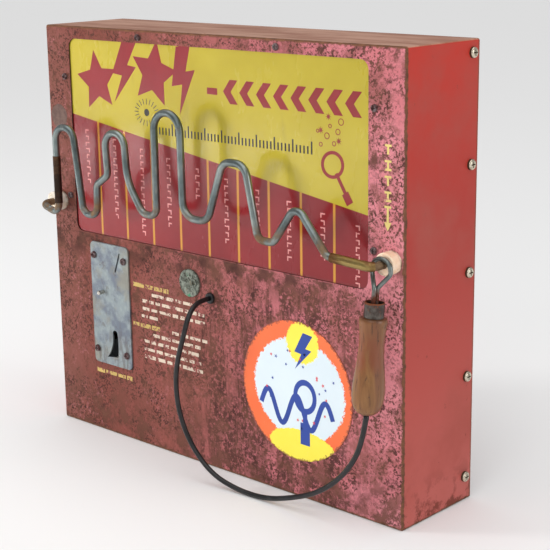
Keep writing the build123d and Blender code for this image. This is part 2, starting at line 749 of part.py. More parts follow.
def timer_relay():
    relay = block(140, 168, CHASSIS_Y - 45, CHASSIS_Y, 50, 90)
    return fillet(relay.edges().filter_by(Axis.Y), 2.0)


def terminal_block():
    """A row of eight screw terminals."""
    row = block(178, 238, CHASSIS_Y - 16, CHASSIS_Y, 60, 82)
    for i in range(8):
        row -= rod_y(181.75 + 7.5 * i, 71, 2.4, CHASSIS_Y - 20, CHASSIS_Y - 8)
    return row


BELL_X = 75.0
BELL_Z = 171.0
HAMMER_X = 107.0
HAMMER_Z = 94.0
BALL_X = 110.0
BALL_Y = CHASSIS_Y - 14.5
COIL_END = 104.0


def bell_gong():
    """A spun dome on a post, open towards the plate."""
    turn = Rot(90, 0, 0)
    dome = Pos(BELL_X, CHASSIS_Y - 18, BELL_Z) * turn * Cone(30, 16, 16)
    dome -= Pos(BELL_X, CHASSIS_Y - 16.8, BELL_Z) * turn * Cone(28.8, 14.8, 16)
    return dome + rod_y(BELL_X, BELL_Z, 4.0, CHASSIS_Y - 26, CHASSIS_Y)


def bell_coils():
    """Two coils on a yoke, pointing at the armature."""
    middle = HAMMER_Z + 20
    yoke = block(82, 85, CHASSIS_Y - 22, CHASSIS_Y, middle - 16, middle + 16)
    for dz in (-8, 8):
        yoke += rod_x(CHASSIS_Y - 12, middle + dz, 7.0, 84.5, COIL_END)
    return yoke


def bell_bracket():
    """The boss that holds the hammer's pin."""
    boss = block(HAMMER_X - 6, HAMMER_X + 6, CHASSIS_Y - 6, CHASSIS_Y, HAMMER_Z - 6, HAMMER_Z + 6)
    return boss - rod_y(HAMMER_X, HAMMER_Z, 1.56, CHASSIS_Y - 10, CHASSIS_Y + 1)


def bell_hammer():
    """The armature on its pin, with a rod and a ball beside the gong."""
    hammer = rod_y(HAMMER_X, HAMMER_Z, 1.5, CHASSIS_Y - 22, CHASSIS_Y - 0.5)
    y0 = CHASSIS_Y - 22
    y1 = CHASSIS_Y - 6.5
    hammer += block(HAMMER_X - 1.5, HAMMER_X + 1.5, y0, y1, HAMMER_Z - 4, HAMMER_Z + 36)
    hammer += block(HAMMER_X, BALL_X, BALL_Y - 1, BALL_Y + 1, HAMMER_Z + 28, HAMMER_Z + 34)
    hammer += rod_z(BALL_X, BALL_Y, 1.3, HAMMER_Z + 28, BELL_Z - 4)
    return hammer + Pos(BALL_X, BALL_Y, BELL_Z - 4) * Sphere(4.0)


def mains_gland():
    """The cable gland in the left side: a body through the sheet, a hexagon and a cap."""
    outside = -WIDTH / 2
    gland = rod_x(MAINS_Y, MAINS_Z, 8.0, outside, outside + 8)
    gland += facing((outside, MAINS_Y, MAINS_Z), (-1, 0, 0)) * extrude(
        RegularPolygon(radius=11, side_count=6, major_radius=False), 5
    )
    gland += rod_x(MAINS_Y, MAINS_Z, 9.0, outside - 15, outside - 5)
    return gland - rod_x(MAINS_Y, MAINS_Z, 3.6, outside - 20, outside + 10)


def gland_nut():
    return facing((-INSIDE_X, MAINS_Y, MAINS_Z), (1, 0, 0)) * hex_nut(22, 4, 8.05)


# ---------------------------------------------------------------- write every node
save("cabinet_shell", cabinet_shell())
save("rear_cover", rear_cover())
save("side_screws_left", *side_screws(-1))
save("side_screws_right", *side_screws(1))
save("cover_nuts", *cover_nuts())
save("display_panel", display_panel())
save("panel_clamps", *panel_clamps())
save("panel_ledge", panel_ledge())
save("window_screws", *window_screws())
save("window_nuts", *window_nuts())
save("wire_track", wire_track())
save("start_sleeve", start_sleeve())
save("finish_sleeve", finish_sleeve())
save("insulator_start", outer_insulator(1))
save("insulator_finish", outer_insulator(-1))
save("inner_insulators", *inner_insulators())
save("track_washers", *track_washers())
save("track_terminals", *track_terminals())
save("track_nuts", *track_nuts())
save("handle_loop", handle_loop())
save("handle_ferrule", handle_ferrule())
save("handle_grip", handle_grip())
save("handle_cable", handle_cable())
save("cable_grommet", cable_grommet())
save("coin_plate", coin_plate())
save("coin_plate_screws", *coin_plate_screws())
save("coin_plate_nuts", *coin_plate_nuts())
save("coin_chute", coin_chute())
save("coin_return_cup", coin_return_cup())
save("coin_release_button", coin_release_button())
save("button_spring", button_spring())
save("reject_gate", reject_gate())
save("coin_switch", coin_switch())
save("coin_switch_lever", coin_switch_lever())
save("cash_box", cash_box())
save("lock_body", lock_body())
save("lock_nut", lock_nut())
save("lock_plug", lock_plug())
save("lock_cam", lock_cam())
save("cam_nut", cam_nut())
save("lock_strap", lock_strap())
save("badge", badge())
save("lamp_tube", lamp_tube())
save("lamp_caps", *lamp_caps())
save("lamp_holders", *lamp_holders())
save("lamp_batten", lamp_batten())
save("lamp_ballast", lamp_ballast())
save("lamp_starter", lamp_starter())
save("chassis_plate", chassis_plate())
save("transformer_core", transformer_core())
save("transformer_coil", transformer_coil())
save("control_board", control_board())
save("timer_relay", timer_relay())
save("terminal_block", terminal_block())
save("bell_gong", bell_gong())
save("bell_coils", bell_coils())
save("bell_bracket", bell_bracket())
save("bell_hammer", bell_hammer())
save("mains_gland", mains_gland())
save("gland_nut", gland_nut())
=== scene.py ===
"""The looks of the wire loop game: camera, cable, finishes, printed marks, floor and lights."""
from math import cos, pi, radians, sin

import bmesh
import bpy
from mathutils import Matrix, Vector


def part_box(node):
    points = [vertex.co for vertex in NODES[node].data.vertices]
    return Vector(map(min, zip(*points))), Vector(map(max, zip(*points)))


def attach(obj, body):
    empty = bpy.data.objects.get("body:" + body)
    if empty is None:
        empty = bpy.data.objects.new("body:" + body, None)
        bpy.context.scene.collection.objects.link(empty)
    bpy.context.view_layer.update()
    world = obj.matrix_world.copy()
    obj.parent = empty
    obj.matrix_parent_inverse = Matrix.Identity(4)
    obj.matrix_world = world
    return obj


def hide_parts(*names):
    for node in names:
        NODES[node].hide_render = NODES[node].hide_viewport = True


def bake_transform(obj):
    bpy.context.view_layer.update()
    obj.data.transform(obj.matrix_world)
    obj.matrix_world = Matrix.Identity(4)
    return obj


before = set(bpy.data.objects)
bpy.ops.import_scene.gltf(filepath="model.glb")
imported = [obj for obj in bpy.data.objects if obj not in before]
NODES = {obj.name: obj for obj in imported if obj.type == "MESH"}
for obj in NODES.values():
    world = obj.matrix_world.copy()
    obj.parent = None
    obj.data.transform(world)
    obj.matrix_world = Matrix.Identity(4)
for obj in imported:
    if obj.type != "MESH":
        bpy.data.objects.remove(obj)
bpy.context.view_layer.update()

MM = 0.001

SHELL_LOW, SHELL_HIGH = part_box("cabinet_shell")
BADGE_LOW, BADGE_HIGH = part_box("badge")
GRIP_LOW, GRIP_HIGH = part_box("handle_grip")
FRONT_Y = SHELL_LOW.y
PANEL_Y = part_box("display_panel")[0].y


# ---------------------------------------------------------------- camera and cable
CAMERA_PLACE = Vector((1.0553, -1.0975, 0.5952))
CAMERA_LOOK = Vector((-0.65819, 0.71191, -0.24490))
CAMERA_ROLL = radians(-0.80)
CAMERA_LENS = 92.3


def make_camera():
    camera = bpy.data.objects.new("camera", bpy.data.cameras.new("camera"))
    bpy.context.scene.collection.objects.link(camera)
    camera.data.sensor_width = 36.0
    camera.data.lens = CAMERA_LENS
    camera.location = CAMERA_PLACE
    turn = (-CAMERA_LOOK).to_track_quat("Z", "Y").to_matrix() @ Matrix.Rotation(CAMERA_ROLL, 3, "Z")
    camera.rotation_euler = turn.to_euler()
    camera.data.clip_start = 0.05
    bpy.context.scene.camera = camera


# lengths in metres, but the route in millimetres
CABLE_RADIUS = 2.75 * MM
CABLE_ROUTE = [
    (-1, -62, 196.5),
    (-1, -75, 196.5),
    (0.5, -87.5, 192),
    (2.5, -97, 182.5),
    (2.5, -102.3, 169.5),
    (-2.5, -103.5, 152.5),
    (-10.5, -102.5, 132),
    (-14, -102.5, 106),
    (-10.5, -102, 75),
    (4, -101, 43),
    (33, -98, 13.5),
    (71, -94, 2.95),
    (109, -91.5, 3.4),
    (143, -90, 13.5),
    (174, -89.5, 26.5),
    (203, -89.5, 47.5),
    (225, -90, 73),
    (238, -90.8, 101),
    (243.4, -91.5, 128.55),
]


def spline_points(route):
    """The smooth line that the listed route controls."""
    curve = bpy.data.curves.new("route", "CURVE")
    curve.dimensions = "3D"
    curve.resolution_u = 12
    spline = curve.splines.new("NURBS")
    spline.points.add(len(route) - 1)
    for point, (x, y, z) in zip(spline.points, route):
        point.co = (x * MM, y * MM, z * MM, 1.0)
    spline.order_u = 3
    spline.use_endpoint_u = True
    holder = bpy.data.objects.new("route", curve)
    bpy.context.scene.collection.objects.link(holder)
    bpy.context.view_layer.update()
    line = bpy.data.meshes.new_from_object(holder)
    points = [vertex.co.copy() for vertex in line.vertices]
    bpy.data.objects.remove(holder)
    return points


def frames_along(points):
    """Each point of a line with two directions across it, without twist."""
    frames = []
    across = Vector((1, 0, 0))
    for i, point in enumerate(points):
        ahead = (points[min(i + 1, len(points) - 1)] - points[max(i - 1, 0)]).normalized()
        across = (across - ahead * across.dot(ahead)).normalized()
        frames.append((point, across, ahead.cross(across)))
    return frames


def tube_mesh(name, points, radius, sides=20):
    """A closed round tube along a line of points."""
    mesh = bmesh.new()
    rings = []
    angles = [2 * pi * k / sides for k in range(sides)]
    for point, across, other in frames_along(points):
        rings.append([mesh.verts.new(point + (across * cos(a) + other * sin(a)) * radius) for a in angles])
    for low, high in zip(rings, rings[1:]):
        for k in range(sides):
            mesh.faces.new((low[k], low[(k + 1) % sides], high[(k + 1) % sides], high[k]))
    mesh.faces.new(reversed(rings[0]))
    mesh.faces.new(rings[-1])
    return finish_mesh(name, mesh)


def finish_mesh(name, mesh, smooth=True):
    """Turns a bmesh into an object with outward faces."""
    bmesh.ops.recalc_face_normals(mesh, faces=mesh.faces)
    data = bpy.data.meshes.new(name)
    mesh.to_mesh(data)
    mesh.free()
    for face in data.polygons:
        face.use_smooth = smooth
    made = bpy.data.objects.new(name, data)
    bpy.context.scene.collection.objects.link(made)
    return made


# ---------------------------------------------------------------- node helpers
def rgb(red, green, blue):
    """A colour given as 0 to 255, as the shaders want it."""
    def linear(value):
        value /= 255
        return value / 12.92 if value <= 0.04045 else ((value + 0.055) / 1.055) ** 2.4
    return (linear(red), linear(green), linear(blue), 1.0)


def dimmed(color, share):
    return tuple(channel * share for channel in color[:3]) + (1.0,)


class Finish:
    """A material whose nodes are added one call at a time."""

    def __init__(self, name, roughness=0.5, metallic=0.0, color=None, **sockets):
        self.material = bpy.data.materials.new(name)
        self.material.use_nodes = True
        self.tree = self.material.node_tree
        self.shader = self.tree.nodes["Principled BSDF"]
        self.shader.inputs["Roughness"].default_value = roughness
        self.shader.inputs["Metallic"].default_value = metallic
        if color:
            self.shader.inputs["Base Color"].default_value = color
        for socket, value in sockets.items():
            self.shader.inputs[socket.replace("_", " ")].default_value = value
        self.place = self.add("ShaderNodeTexCoord").outputs["Object"]

    def add(self, kind, inputs=None, **settings):
        node = self.tree.nodes.new(kind)
        for key, value in settings.items():
            setattr(node, key, value)
        for key, value in (inputs or {}).items():
            if isinstance(value, bpy.types.NodeSocket):
                self.tree.links.new(value, node.inputs[key])
            else:
                node.inputs[key].default_value = value
        return node

    def axes(self, vector=None):
        return self.add("ShaderNodeSeparateXYZ", {0: vector or self.place}).outputs

    def stretched(self, x, y, z):
        """The position scaled unevenly, for streaks and grain."""
        return self.add("ShaderNodeMapping", {"Vector": self.place, "Scale": (x, y, z)}).outputs[0]

    def noise(self, scale, detail=4.0, rough=0.55, vector=None, bend=0.0):
        settings = {"Scale": scale, "Detail": detail, "Roughness": rough, "Distortion": bend}
        settings["Vector"] = vector or self.place
        return self.add("ShaderNodeTexNoise", settings).outputs[0]

    def cells(self, scale, vector):
        return self.add("ShaderNodeTexVoronoi", {"Vector": vector, "Scale": scale}).outputs[0]

    def math(self, operation, first, second=0.5, third=0.5):
        return self.add("ShaderNodeMath", {0: first, 1: second, 2: third}, operation=operation).outputs[0]

    def band(self, value, low, high):
        """0 at low, 1 at high, smooth between them and flat outside."""
        ends = {"Value": value, "From Min": low, "From Max": high, "To Min": 0.0, "To Max": 1.0}
        if low > high:
            ends.update({"From Min": high, "From Max": low, "To Min": 1.0, "To Max": 0.0})
        return self.add("ShaderNodeMapRange", ends, interpolation_type="SMOOTHSTEP").outputs[0]

    def mix(self, factor, first, second, kind="MIX"):
        node = self.add("ShaderNodeMix", data_type="RGBA", blend_type=kind)
        for key, value in ((0, factor), (6, first), (7, second)):
            if isinstance(value, bpy.types.NodeSocket):
                self.tree.links.new(value, node.inputs[key])
            else:
                node.inputs[key].default_value = value
        return node.outputs[2]

    def ramp(self, value, *stops):
        node = self.add("ShaderNodeValToRGB", {0: value})
        elements = node.color_ramp.elements
        while len(elements) < len(stops):
            elements.new(0.5)
        for element, (position, color) in zip(elements, stops):
            element.position = position
            element.color = color
        return node.outputs[0]

    def color(self, socket):
        self.tree.links.new(socket, self.shader.inputs["Base Color"])
        return self

    def drive(self, socket, mask, low, high):
        """The shader's value goes from low to high as the mask goes from 0 to 1."""
        ends = {"Value": mask, "From Min": 0.0, "From Max": 1.0, "To Min": low, "To Max": high}
        self.tree.links.new(self.add("ShaderNodeMapRange", ends).outputs[0], self.shader.inputs[socket])
        return self

    def rough(self, mask, low, high):
        return self.drive("Roughness", mask, low, high)

    def metal(self, mask, low, high):
        return self.drive("Metallic", mask, low, high)

    def bump(self, height, depth, strength=1.0):
        inputs = {"Height": height, "Distance": depth, "Strength": strength}
        normal = self.add("ShaderNodeBump", inputs).outputs[0]
        self.tree.links.new(normal, self.shader.inputs["Normal"])
        return self


def union(finish, *masks):
    """The largest of several masks."""
    whole = masks[0]
    for mask in masks[1:]:
        whole = finish.math("MAXIMUM", whole, mask)
    return whole


def product(finish, *masks):
    """Several masks multiplied, so that it is 1 only where all of them are."""
    whole = masks[0]
    for mask in masks[1:]:
        whole = finish.math("MULTIPLY", whole, mask)
    return whole


# ---------------------------------------------------------------- finishes
RUST_BROWN = rgb(108, 68, 52)
GREY_SKIN = rgb(120, 130, 130)


def front_color(f, x, cloud):
    """Dull red on the left to faded pink on the right, mottled."""
    front = f.ramp(
        f.math("MULTIPLY_ADD", x, 1.9, 0.5),
        (0.0, rgb(130, 78, 70)),
        (0.12, rgb(118, 60, 50)),
        (0.45, rgb(144, 80, 72)),
        (0.78, rgb(192, 110, 118)),
        (1.0, rgb(214, 134, 142)),
    )
    pinker = product(f, f.band(cloud, 0.42, 0.62), f.band(x, -0.16, 0.20))
    front = f.mix(pinker, front, rgb(196, 112, 118))
    mottle = f.band(f.noise(38, 6, 0.68), 0.46, 0.60)
    front = f.mix(product(f, mottle, 0.6), front, rgb(116, 66, 54))
    pale = product(f, f.band(f.noise(300, 4, 0.6), 0.54, 0.66), f.band(f.noise(20, 4), 0.42, 0.6))
    return f.mix(product(f, pale, 0.4), front, rgb(190, 118, 124))


def side_color(f, z, cloud):
    side = f.ramp(
        f.math("MULTIPLY", z, 1 / SHELL_HIGH.z),
        (0.0, rgb(186, 96, 88)),
        (0.30, rgb(178, 74, 66)),
        (0.60, rgb(168, 54, 46)),
        (1.0, rgb(190, 50, 38)),
    )
    return f.mix(f.band(cloud, 0.4, 0.75), side, rgb(166, 74, 64))


def top_color(f):
    streaky = f.noise(30, 6, 0.65, f.stretched(0.35, 1.4, 1))
    return f.mix(f.band(streaky, 0.35, 0.65), rgb(158, 106, 84), rgb(194, 148, 126))


def front_rust_mask(f, x, z, fine):
    """Specks and spots all over, streaks under the window, and rust at its lip and at the base."""
    density = f.band(f.noise(17, 5, 0.62), 0.34, 0.56)
    specks = product(f, f.band(f.noise(400, 4, 0.62), 0.52, 0.58), density)
    spots = product(f, f.band(f.noise(165, 5, 0.7), 0.54, 0.60), f.band(density, 0.2, 0.8))
    below_window = f.band(z, 0.250, 0.222)
    heavy = product(f, f.band(x, -0.12, 0.02), f.band(x, 0.250, 0.17))
    streaks = f.band(f.noise(36, 6, 0.70, f.stretched(1.5, 1.5, 0.20)), 0.40, 0.54)
    streaks = product(f, streaks, below_window, heavy, f.band(f.noise(190, 5, 0.7), 0.40, 0.52))
    lip = product(f, f.band(z, 0.200, 0.232), f.band(z, 0.2425, 0.2405))
    lip = product(f, lip, f.band(f.noise(46, 6, 0.7), 0.40, 0.54), f.band(x, 0.225, 0.19))
    base = product(f, f.band(z, 0.10, 0.0), f.band(f.noise(60, 6, 0.7), 0.44, 0.58))
    blotches = product(f, f.band(f.noise(24, 6, 0.7), 0.57, 0.66), f.band(fine, 0.36, 0.5))
    return union(f, specks, spots, streaks, lip, base, blotches)


def side_rust_mask(f, z):
    marks = product(f, f.band(f.noise(75, 6, 0.75), 0.645, 0.70), 0.6)
    base = product(f, f.band(z, 0.06, 0.0), f.band(f.noise(48, 6, 0.7), 0.46, 0.6))
    return union(f, marks, base)


def worn_edge_mask(f, wide, y, z, fine):
    """Bare metal along the folded edges, with a ragged border."""
    ragged = f.math("MULTIPLY", f.math("SUBTRACT", fine, 0.5), 0.006)
    near_x = f.math("ADD", wide, ragged)
    near_y = f.math("ADD", y, ragged)
    near_z = f.math("ADD", z, ragged)
    right, back, top = SHELL_HIGH
    beside = f.band(near_x, right - 0.0022, right - 0.001)
    corner = product(f, beside, f.band(near_y, FRONT_Y + 0.0038, FRONT_Y + 0.0022))
    above = f.band(near_z, top - 0.003, top - 0.001)
    rim = product(f, above, f.band(near_y, FRONT_Y + 0.005, FRONT_Y + 0.002))
    foot = f.band(near_z, 0.004, 0.0015)
    back_edge = f.band(near_y, back - 0.003, back - 0.001)
    return union(f, corner, rim, foot, product(f, back_edge, 0.6))


def cabinet_paint():
    """Faded red enamel: rust specks and streaks on the front, cleaner sides, a dusty top."""
    f = Finish("cabinet_paint", Specular_IOR_Level=0.25)
    x, y, z = f.axes()
    normal = f.axes(f.add("ShaderNodeNewGeometry").outputs["Normal"])
    wide = f.math("ABSOLUTE", x)
    cloud = f.noise(9, 5, 0.6)
    fine = f.noise(140, 6, 0.65)
    on_front = f.band(normal[1], -0.35, -0.75)
    off_front = f.math("SUBTRACT", 1.0, on_front)
    on_top = f.band(normal[2], 0.35, 0.75)
    paint = f.mix(on_front, side_color(f, z, cloud), front_color(f, x, cloud))
    paint = f.mix(on_top, paint, top_color(f))

    front_rust = product(f, front_rust_mask(f, x, z, fine), on_front)
    side_rust = product(f, side_rust_mask(f, z), off_front)
    worn = worn_edge_mask(f, wide, y, z, fine)
    # painted shade: the cut edges of the front's openings are coloured near black
    cut_edge_shade = product(f, f.band(y, FRONT_Y + 0.0017, FRONT_Y + 0.0014), f.band(wide, 0.240, 0.235))
    cut_edge_shade = product(f, cut_edge_shade, f.band(z, 0.476, 0.472), f.band(z, 0.010, 0.014), off_front)

    rust = f.ramp(f.noise(60, 5, 0.6), (0.35, rgb(60, 38, 34)), (0.65, rgb(100, 66, 54)))
    color = f.mix(product(f, front_rust, 0.92), paint, rust)
    color = f.mix(side_rust, color, rgb(124, 62, 52))
    color = f.mix(worn, color, f.ramp(fine, (0.35, rgb(88, 60, 44)), (0.65, rgb(128, 86, 64))))
    color = f.mix(cut_edge_shade, color, rgb(52, 32, 28))
    whole = union(f, front_rust, side_rust, worn)
    f.color(color).rough(whole, 0.48, 0.85)
    return f.bump(whole, -0.0002, 0.6).material


def plain_paint(name, color, dark, roughness=0.5):
    """Enamel with clouded colour and small chips."""
    f = Finish(name, roughness)
    chips = f.band(f.noise(160, 5, 0.7), 0.66, 0.70)
    tone = f.mix(f.band(f.noise(14, 5, 0.6), 0.35, 0.7), color, dark)
    f.color(f.mix(chips, tone, RUST_BROWN)).rough(chips, roughness, 0.85)
    return f.bump(chips, -0.0001).material


DISPLAY_LEFT, DISPLAY_RIGHT = -0.222, 0.218
SPLIT_LEFT_Z, SPLIT_RIGHT_Z = 0.380, 0.316
SPLIT_SLOPE = (SPLIT_RIGHT_Z - SPLIT_LEFT_Z) / (DISPLAY_RIGHT - DISPLAY_LEFT)
COLUMN_PITCH = 0.044
DIVIDER_WIDTH = 0.0034


def display_print():
    """Yellow over red, parted by a slanted line, with nine divider lines in the red and painted shade along
    the lower edge.
    """
    f = Finish("display_print", 0.22, Specular_IOR_Level=0.3, Coat_Weight=0.2, Coat_Roughness=0.08)
    x, _, z = f.axes()
    line_z = f.math("MULTIPLY_ADD", x, SPLIT_SLOPE, SPLIT_LEFT_Z - SPLIT_SLOPE * DISPLAY_LEFT)
    is_red = f.band(f.math("SUBTRACT", z, line_z), 0.0002, -0.0002)
    shifted = f.math("ADD", f.math("SUBTRACT", x, DISPLAY_LEFT), COLUMN_PITCH / 2)
    within = f.math("SUBTRACT", f.math("MODULO", shifted, COLUMN_PITCH), COLUMN_PITCH / 2)
    column = f.math("ABSOLUTE", within)
    divider = product(f, f.band(column, DIVIDER_WIDTH / 2, DIVIDER_WIDTH / 2 - 0.0003), is_red)
    inside = product(f, f.band(x, -0.205, -0.200), f.band(x, 0.200, 0.195))
    divider = product(f, divider, inside)
    cloud = f.noise(7, 4, 0.6)
    yellow = f.mix(f.band(cloud, 0.3, 0.7), rgb(170, 152, 42), rgb(184, 166, 52))
    yellow = f.mix(f.band(f.noise(16, 5, 0.6, f.stretched(1, 1, 0.3)), 0.6, 0.75), yellow, rgb(154, 138, 50))
    red = f.mix(f.band(f.noise(11, 4, 0.6), 0.35, 0.68), rgb(122, 20, 26), rgb(136, 32, 36))
    orange = f.mix(f.noise(30), rgb(188, 128, 40), rgb(200, 142, 52))
    color = f.mix(is_red, yellow, red)
    color = f.mix(divider, color, orange)
    # painted shade: a dark band along the print's lower edge, under the window's lip
    border = f.band(f.math("ADD", z, f.math("MULTIPLY", f.noise(60), 0.004)), 0.2475, 0.2435)
    color = f.mix(f.math("MULTIPLY", border, 0.6), color, rgb(110, 52, 50))
    f.color(color)
    smear = f.noise(5, 6, 0.7, f.stretched(1, 1, 0.4))
    return f.rough(smear, 0.12, 0.42).material


def ink(name, color, under=None, wear=0.0, roughness=0.35):
    """Printing ink with clouded colour, worn through to what is under it."""
    f = Finish(name, roughness)
    dim = dimmed(color, 0.84)
    tone = f.mix(f.band(f.noise(18, 4, 0.6), 0.35, 0.7), color, dim)
    if under:
        gone = f.band(f.noise(230, 5, 0.7), 0.62 - wear, 0.66 - wear)
        tone = f.mix(gone, tone, under)
    return f.color(tone).material


def worn_bar():
    """A steel bar with a blue-grey skin, browned where it bends low, and rubbed bright in places."""
    f = Finish("worn_bar", 0.42, 0.75)
    x, _, z = f.axes()
    skin = f.ramp(f.noise(26, 6, 0.6), (0.3, rgb(80, 90, 90)), (0.5, GREY_SKIN), (0.7, rgb(158, 166, 162)))
    rub = f.band(f.noise(220, 3, 0.5, f.stretched(1, 1, 0.25)), 0.55, 0.72)
    skin = f.mix(rub, skin, rgb(140, 144, 138))
    brown = f.math("MULTIPLY", f.band(z, 0.302, 0.284), f.band(f.noise(60, 5, 0.65), 0.40, 0.58))
    end = f.band(f.math("ABSOLUTE", x), 0.236, 0.243)
    brown = union(f, brown, f.band(f.noise(90, 6, 0.7), 0.64, 0.70), end)
    color = f.mix(brown, skin, f.ramp(f.noise(120), (0.3, rgb(92, 66, 46)), (0.7, rgb(138, 112, 82))))
    f.color(color).rough(brown, 0.30, 0.60).metal(brown, 0.85, 0.4)
    return f.bump(f.noise(300, 4, 0.6), 0.00012, 0.5).material


def brass(name, bright, dull, share=0.5, roughness=0.3):
    """Brass with tarnished patches."""
    f = Finish(name, roughness, 0.9)
    patches = f.band(f.noise(70, 6, 0.65, f.stretched(0.5, 1, 1)), share - 0.12, share + 0.12)
    f.color(f.mix(patches, bright, dull)).rough(patches, roughness, 0.6)
    return f.bump(f.noise(340, 4), 0.0001, 0.5).material


def plated(name, color, stain, roughness=0.35, share=0.56, grain=90):
    """Plated or galvanised steel with stains."""
    f = Finish(name, roughness, 0.8)
    clouds = f.noise(grain, 6, 0.62)
    stains = f.band(f.noise(grain * 0.35, 6, 0.7), share, share + 0.14)
    tone = f.mix(f.band(clouds, 0.3, 0.7), color, dimmed(color, 0.8))
    f.color(f.mix(stains, tone, stain)).rough(stains, roughness, 0.75).metal(stains, 0.8, 0.25)
    return f.bump(clouds, 0.00015, 0.4).material


def coin_plate_zinc():
    """Galvanised plate: pale crystals, dirt spots, and brown drips low down."""
    f = Finish("coin_plate_zinc", 0.48, 0.35)
    z = f.axes()[2]
    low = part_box("coin_plate")[0]
    crystals = f.cells(210, f.stretched(1, 1, 0.8))
    pale = f.mix(f.math("MULTIPLY", f.band(crystals, 0.1, 0.7), 0.35), rgb(150, 160, 162), rgb(120, 130, 136))
    pale = f.mix(f.band(f.noise(34, 6, 0.65), 0.44, 0.60), pale, rgb(112, 120, 132))
    pale = f.mix(f.math("MULTIPLY", f.band(f.noise(22, 5, 0.6), 0.48, 0.62), 0.7), pale, rgb(146, 142, 126))
    rust = f.band(f.noise(70, 6, 0.7), 0.56, 0.68)
    lower = f.band(z, low.z + 0.085, low.z + 0.01)
    drips = f.math("MULTIPLY", f.band(f.noise(60, 6, 0.7, f.stretched(1.4, 1, 0.35)), 0.50, 0.62), lower)
    dirt = union(f, f.math("MULTIPLY", rust, 0.5), f.math("MULTIPLY", drips, 0.6))
    verdigris = f.math("MULTIPLY", f.band(f.noise(52, 5, 0.6), 0.62, 0.7), lower)
    color = f.mix(dirt, pale, rgb(92, 78, 76))
    color = f.mix(f.math("MULTIPLY", verdigris, 0.6), color, rgb(132, 178, 176))
    f.color(color).rough(dirt, 0.42, 0.78).metal(dirt, 0.4, 0.1)
    return f.bump(f.noise(420, 4, 0.6), 0.00012, 0.5).material


def rusty_screw():
    f = Finish("rusty_screw", 0.6, 0.5)
    rust = f.band(f.noise(260, 5, 0.7), 0.42, 0.6)
    f.color(f.mix(rust, rgb(118, 104, 104), rgb(84, 52, 52))).rough(rust, 0.45, 0.85)
    return f.bump(f.noise(500, 4), 0.0001, 0.6).material


def nickel_screw():
    """Dull nickel heads with dirt in the recess."""
    f = Finish("nickel_screw", 0.28, 0.9)
    dirt = f.band(f.noise(210, 5, 0.7), 0.52, 0.68)
    depth = f.math("ABSOLUTE", f.axes()[0])
    hollow = f.band(depth, SHELL_HIGH.x + 0.0026, SHELL_HIGH.x + 0.0019)
    spread = union(f, f.math("MULTIPLY", dirt, 0.6), hollow)
    f.color(f.mix(spread, rgb(206, 196, 176), rgb(92, 78, 60))).rough(spread, 0.26, 0.8)
    return f.bump(f.noise(420, 3), 0.00006, 0.5).material


def button_metal():
    f = Finish("button_metal", 0.22, 0.95)
    dull = f.band(f.noise(320, 5, 0.6), 0.5, 0.68)
    f.color(f.mix(dull, rgb(212, 208, 198), rgb(126, 116, 104))).rough(dull, 0.18, 0.5)
    return f.material


def lock_face():
    """Nickel worn to the brass, with dark pits and green bloom."""
    f = Finish("lock_face", 0.5, 0.6)
    tone = f.mix(f.band(f.noise(150, 6, 0.7), 0.40, 0.60), rgb(140, 146, 134), rgb(88, 92, 82))
    pits = f.band(f.noise(420, 5, 0.7), 0.55, 0.62)
    bloom = f.band(f.noise(120, 6, 0.7), 0.60, 0.68)
    brown = f.band(f.noise(160, 5, 0.7), 0.58, 0.70)
    color = f.mix(brown, tone, rgb(116, 92, 60))
    color = f.mix(bloom, color, rgb(86, 156, 122))
    color = f.mix(pits, color, rgb(60, 58, 50))
    f.color(color).rough(union(f, pits, bloom), 0.42, 0.8)
    return f.bump(pits, -0.0002).material


def insulator_plastic(name, color, warm):
    """Yellowed nylon, darker brown in patches within 4 mm of the front."""
    f = Finish(name, 0.5, Subsurface_Weight=0.08, Subsurface_Radius=(0.004, 0.002, 0.001))
    y = f.axes()[1]
    base_darkening = f.math("MULTIPLY", f.band(y, FRONT_Y - 0.004, FRONT_Y), f.band(f.noise(160, 5), 0.3, 0.6))
    tone = f.mix(f.band(f.noise(80, 5, 0.6), 0.35, 0.7), color, warm)
    tone = f.mix(f.band(f.noise(260, 5, 0.7), 0.64, 0.70), tone, rgb(120, 84, 60))
    f.color(f.mix(base_darkening, tone, rgb(108, 74, 56)))
    return f.bump(f.noise(300, 4), 0.0002, 0.4).material


